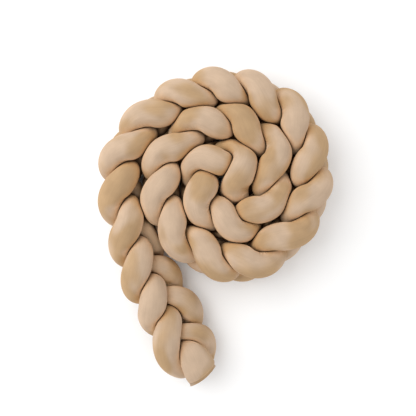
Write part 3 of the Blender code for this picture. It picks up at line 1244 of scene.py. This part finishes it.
def sheltered_share(mesh, skins, looks):
    points, normals = points_of(mesh), column(mesh.vertex_normals, "vector", 3)
    lying = np.abs(normals[:, 2:]) < NEARLY_UPRIGHT
    helper = np.where(lying, [[0.0, 0.0, 1.0]], [[1.0, 0.0, 0.0]])
    first = unit(np.cross(helper, normals))
    second = np.cross(normals, first)
    starts = points + LOOK_START * normals
    blocked = np.zeros(len(points))
    for x, y, z in looks:
        ways = x * first + y * second + z * normals
        for i, (start, way) in enumerate(zip(starts.tolist(), ways.tolist())):
            if skins.ray_cast(start, way, LOOK_REACH)[3] is not None:
                blocked[i] += 1
    return averaged(mesh, blocked / len(looks), SHELTER_PASSES)


skins = all_skins(tubes)
for tube in tubes:
    sheltered = sheltered_share(tube.data, skins, spiral_looks(LOOKS))
    give(tube.data, "sheltered", sheltered)
    print(tube.name, "sheltered, in the middle:", round(float(np.median(sheltered)), 2))

# %% [markdown]
# ## Finish the skins
# One level of subdivision rounds the last corners.  It comes after the cloth has settled, so the
# simulation stays small, and its render level is the same as its viewport level.

# %% Round the last corners
for tube in tubes:
    tube.data.shade_smooth()
    finer = tube.modifiers.new("finer", "SUBSURF")
    finer.levels = finer.render_levels = 1
print("skins made finer:", [tube.name for tube in tubes])

# %% [markdown]
# ## Floor and light
# The photo is a shop picture on white, in soft light with a little more of it from the left.  So
# the floor is a plain pale plane, the world is an even white, and one large lamp stands at the
# upper left, wide enough for soft edges to its shadows.

# %% Floor and light
FLOOR_SIZE = 6.0
FLOOR_COLOUR = (0.9, 0.9, 0.9, 1)
WORLD_COLOUR = (1, 1, 1, 1)
WORLD_STRENGTH = 0.95
LAMP_SIZE = 1.6
LAMP_WATTS = 19
LAMP_PLACE = (-1.0, 0.5, 1.4)
LAMP_TURN = (math.radians(-18), math.radians(-35), 0)


def floor_plane(size, colour):
    mesh = bpy.data.meshes.new("floor")
    half = size / 2
    corners = [(-half, -half, 0), (half, -half, 0), (half, half, 0), (-half, half, 0)]
    mesh.from_pydata(corners, [], [(0, 1, 2, 3)])
    pale = bpy.data.materials.new("pale_floor")
    pale.use_nodes = True
    fill(pale.node_tree, pale.node_tree.nodes["Principled BSDF"], {"Base Color": colour})
    mesh.materials.append(pale)
    return link(bpy.data.objects.new("floor", mesh))


floor = floor_plane(FLOOR_SIZE, FLOOR_COLOUR)
world = bpy.data.worlds.new("studio")
world.use_nodes = True
glow = {"Color": WORLD_COLOUR, "Strength": WORLD_STRENGTH}
fill(world.node_tree, world.node_tree.nodes["Background"], glow)
bpy.context.scene.world = world
lamp = bpy.data.lights.new("key", "AREA")
lamp.size = LAMP_SIZE
lamp.energy = LAMP_WATTS
key = link(bpy.data.objects.new("key", lamp))
key.location = LAMP_PLACE
key.rotation_euler = LAMP_TURN
bpy.context.scene.view_settings.view_transform = "Standard"
print("lamp:", LAMP_WATTS, "W,", LAMP_SIZE, "m wide")

# %% [markdown]
# ## Camera
# The photo is taken from almost straight above.  The camera looks down on the photo's middle
# from just over a metre away, three degrees off upright, so that a little of each tube's near
# side shows.  Up in its picture is the frame's +Y, and the lens follows from the photo's scale.

# %% Camera
PIXEL = 0.00177
PHOTO_SIZE = 416
ROLL_PIXELS = (8.5, 17.0)
LOOK_HEIGHT = 0.1
CAMERA_DISTANCE = 1.1
AZIMUTH, ELEVATION = math.radians(45), math.radians(87)

target = Vector((
    -ROLL_PIXELS[0] * PIXEL - ROLL_MIDDLE[0],
    ROLL_PIXELS[1] * PIXEL - ROLL_MIDDLE[1],
    LOOK_HEIGHT,
))
back = Vector((
    math.sin(AZIMUTH) * math.cos(ELEVATION),
    -math.cos(AZIMUTH) * math.cos(ELEVATION),
    math.sin(ELEVATION),
))
up = Vector((0, 1, 0))
up = (up - back * up.dot(back)).normalized()
camera = link(bpy.data.objects.new("camera", bpy.data.cameras.new("camera")))
camera.location = target + back * CAMERA_DISTANCE
camera.rotation_euler = Matrix((up.cross(back), up, back)).transposed().to_euler()
camera.data.lens = camera.data.sensor_width * CAMERA_DISTANCE / (PHOTO_SIZE * PIXEL)
bpy.context.scene.camera = camera
print("camera at", [round(value, 3) for value in camera.location], "lens, mm:",
      round(camera.data.lens, 1))

# %% [markdown]
# ## The tubes in place of the CAD parts
# Each tube rides on the one body and stands in for its CAD node, which is hidden.

for tube, (name, *_) in zip(tubes, TUBES):
    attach(tube, "root")
    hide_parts(name)
